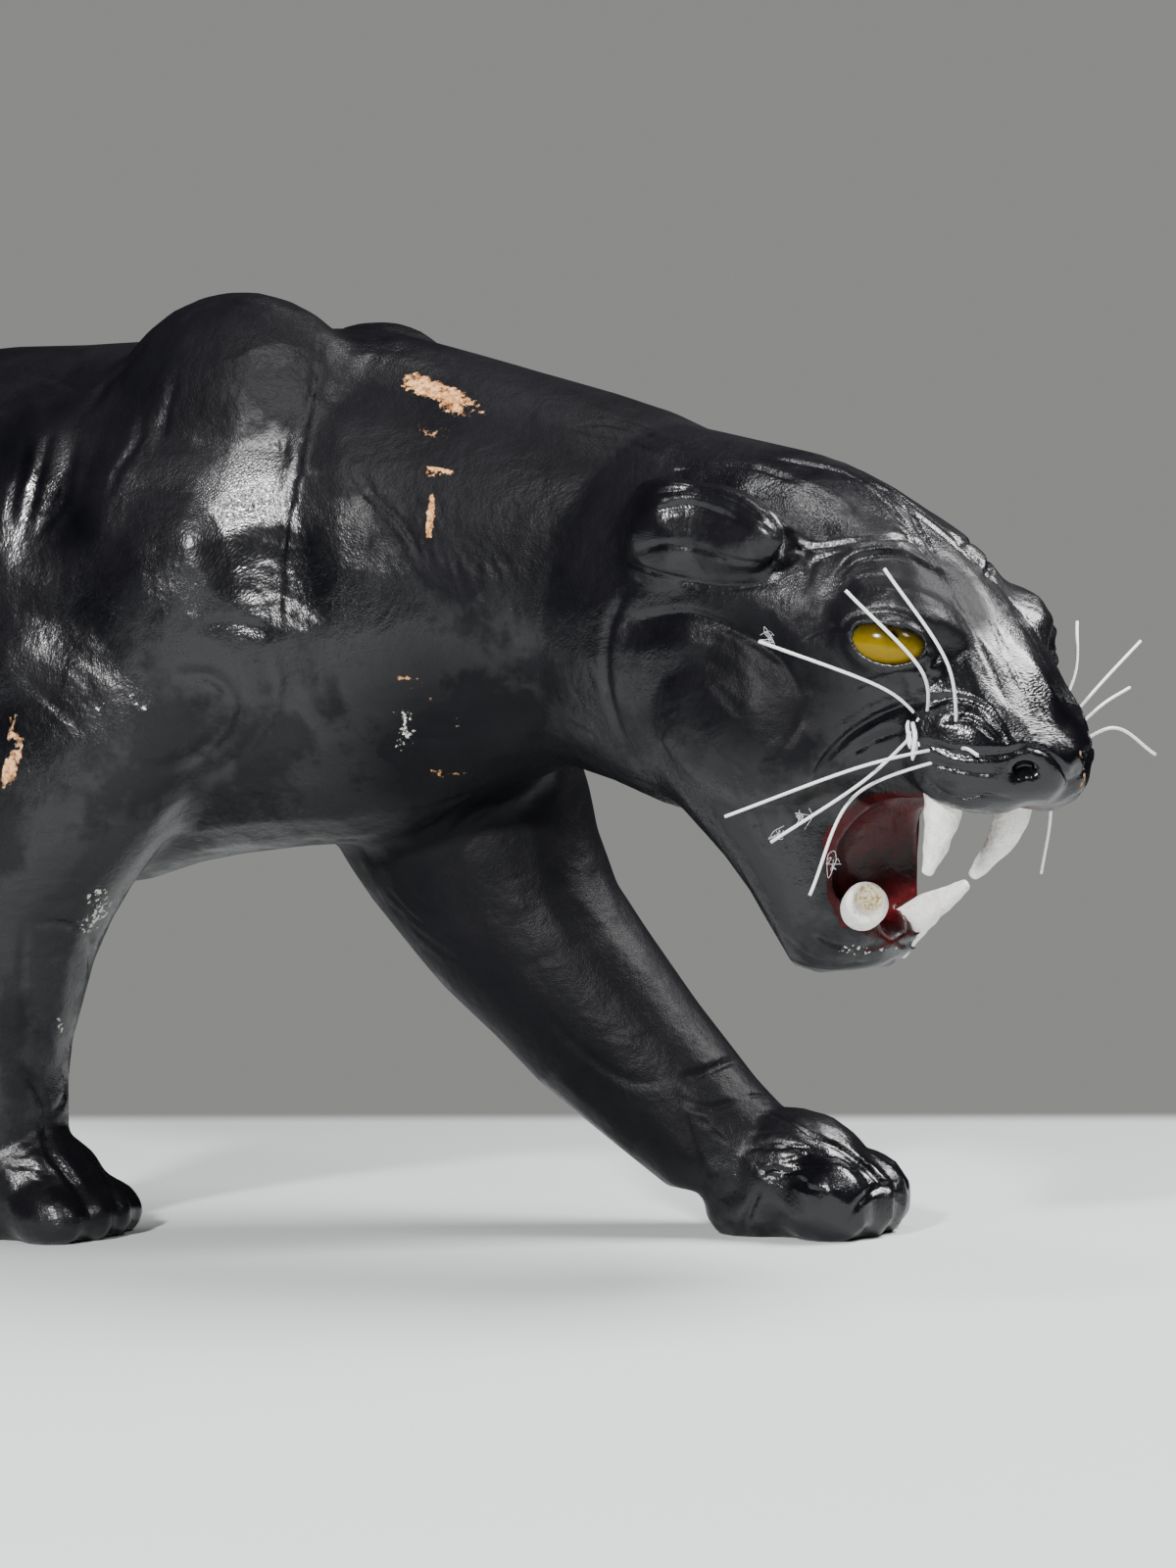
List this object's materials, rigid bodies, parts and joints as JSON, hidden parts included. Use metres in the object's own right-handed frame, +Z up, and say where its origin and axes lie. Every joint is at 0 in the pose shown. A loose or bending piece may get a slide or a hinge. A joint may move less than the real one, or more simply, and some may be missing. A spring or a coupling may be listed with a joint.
{
  "type": "leather panther sculpture",
  "caption": "Stalking panther figure in black leather, head low and turned to its right, jaws open with fangs, glass eyes and bristle whiskers, on flat paws",
  "frame": {"origin": "on the floor, under the middle of the figure's bounding box", "axes": "+X forward along the body, +Y to the figure's left, +Z up"},
  "size_m": [1.4436, 0.265, 0.4916],
  "materials": {
    "black_leather": "gloss",
    "amber_glass": "gloss",
    "ivory_teeth": "matte",
    "white_bristle": "gloss"
  },
  "bodies": {
    "root": {"panther_body": "black_leather", "eye_right": "amber_glass", "eye_left": "amber_glass", "fang_upper_right": "ivory_teeth", "fang_upper_left": "ivory_teeth", "fang_lower_right": "ivory_teeth", "fang_lower_left": "ivory_teeth", "whisker_right_1": "white_bristle", "whisker_right_2": "white_bristle", "whisker_right_3": "white_bristle", "whisker_right_4": "white_bristle", "whisker_right_5": "white_bristle", "whisker_right_6": "white_bristle", "whisker_right_7": "white_bristle", "whisker_left_1": "white_bristle", "whisker_left_2": "white_bristle", "whisker_left_3": "white_bristle", "whisker_left_4": "white_bristle", "whisker_left_5": "white_bristle"}
  },
  "joints": []
}
